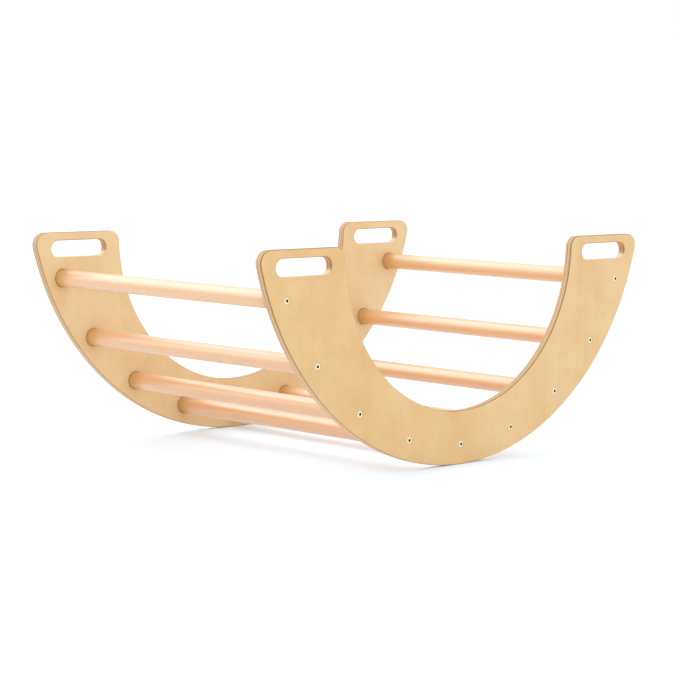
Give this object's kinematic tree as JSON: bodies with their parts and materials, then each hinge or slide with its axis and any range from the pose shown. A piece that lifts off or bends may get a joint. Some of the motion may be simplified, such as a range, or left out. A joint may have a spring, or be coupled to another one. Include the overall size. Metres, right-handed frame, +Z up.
{
  "type": "climbing arch rocker",
  "caption": "Crescent-shaped plywood climbing arch and rocker: curved side panels with hand slots, joined by round wooden rungs, bolted through the panels.",
  "frame": {"origin": "on the floor under the lowest point of the rocking edges, midway between the two side panels", "axes": "+Z up, +X along the rocker, which is the way it rocks, and +Y across it from the front panel to the back panel"},
  "size_m": [0.968, 0.63, 0.4],
  "materials": {
    "birch_plywood": "clear matt lacquer over pale birch veneer, the plies showing on the rounded edges",
    "beech": "sanded smooth, clear satin lacquer",
    "plated_steel": "bright zinc plate",
    "brass": "turned, unpolished"
  },
  "bodies": {
    "root": {"side_panel_front": "birch_plywood", "side_panel_back": "birch_plywood", "rung_1": "beech", "rung_2": "beech", "rung_3": "beech", "rung_4": "beech", "rung_5": "beech", "rung_6": "beech", "rung_7": "beech", "rung_8": "beech", "rung_9": "beech", "bolt_front_1": "plated_steel", "bolt_front_2": "plated_steel", "bolt_front_3": "plated_steel", "bolt_front_4": "plated_steel", "bolt_front_5": "plated_steel", "bolt_front_6": "plated_steel", "bolt_front_7": "plated_steel", "bolt_front_8": "plated_steel", "bolt_front_9": "plated_steel", "bolt_back_1": "plated_steel", "bolt_back_2": "plated_steel", "bolt_back_3": "plated_steel", "bolt_back_4": "plated_steel", "bolt_back_5": "plated_steel", "bolt_back_6": "plated_steel", "bolt_back_7": "plated_steel", "bolt_back_8": "plated_steel", "bolt_back_9": "plated_steel", "insert_nut_front_1": "brass", "insert_nut_front_2": "brass", "insert_nut_front_3": "brass", "insert_nut_front_4": "brass", "insert_nut_front_5": "brass", "insert_nut_front_6": "brass", "insert_nut_front_7": "brass", "insert_nut_front_8": "brass", "insert_nut_front_9": "brass", "insert_nut_back_1": "brass", "insert_nut_back_2": "brass", "insert_nut_back_3": "brass", "insert_nut_back_4": "brass", "insert_nut_back_5": "brass", "insert_nut_back_6": "brass", "insert_nut_back_7": "brass", "insert_nut_back_8": "brass", "insert_nut_back_9": "brass"}
  },
  "joints": []
}
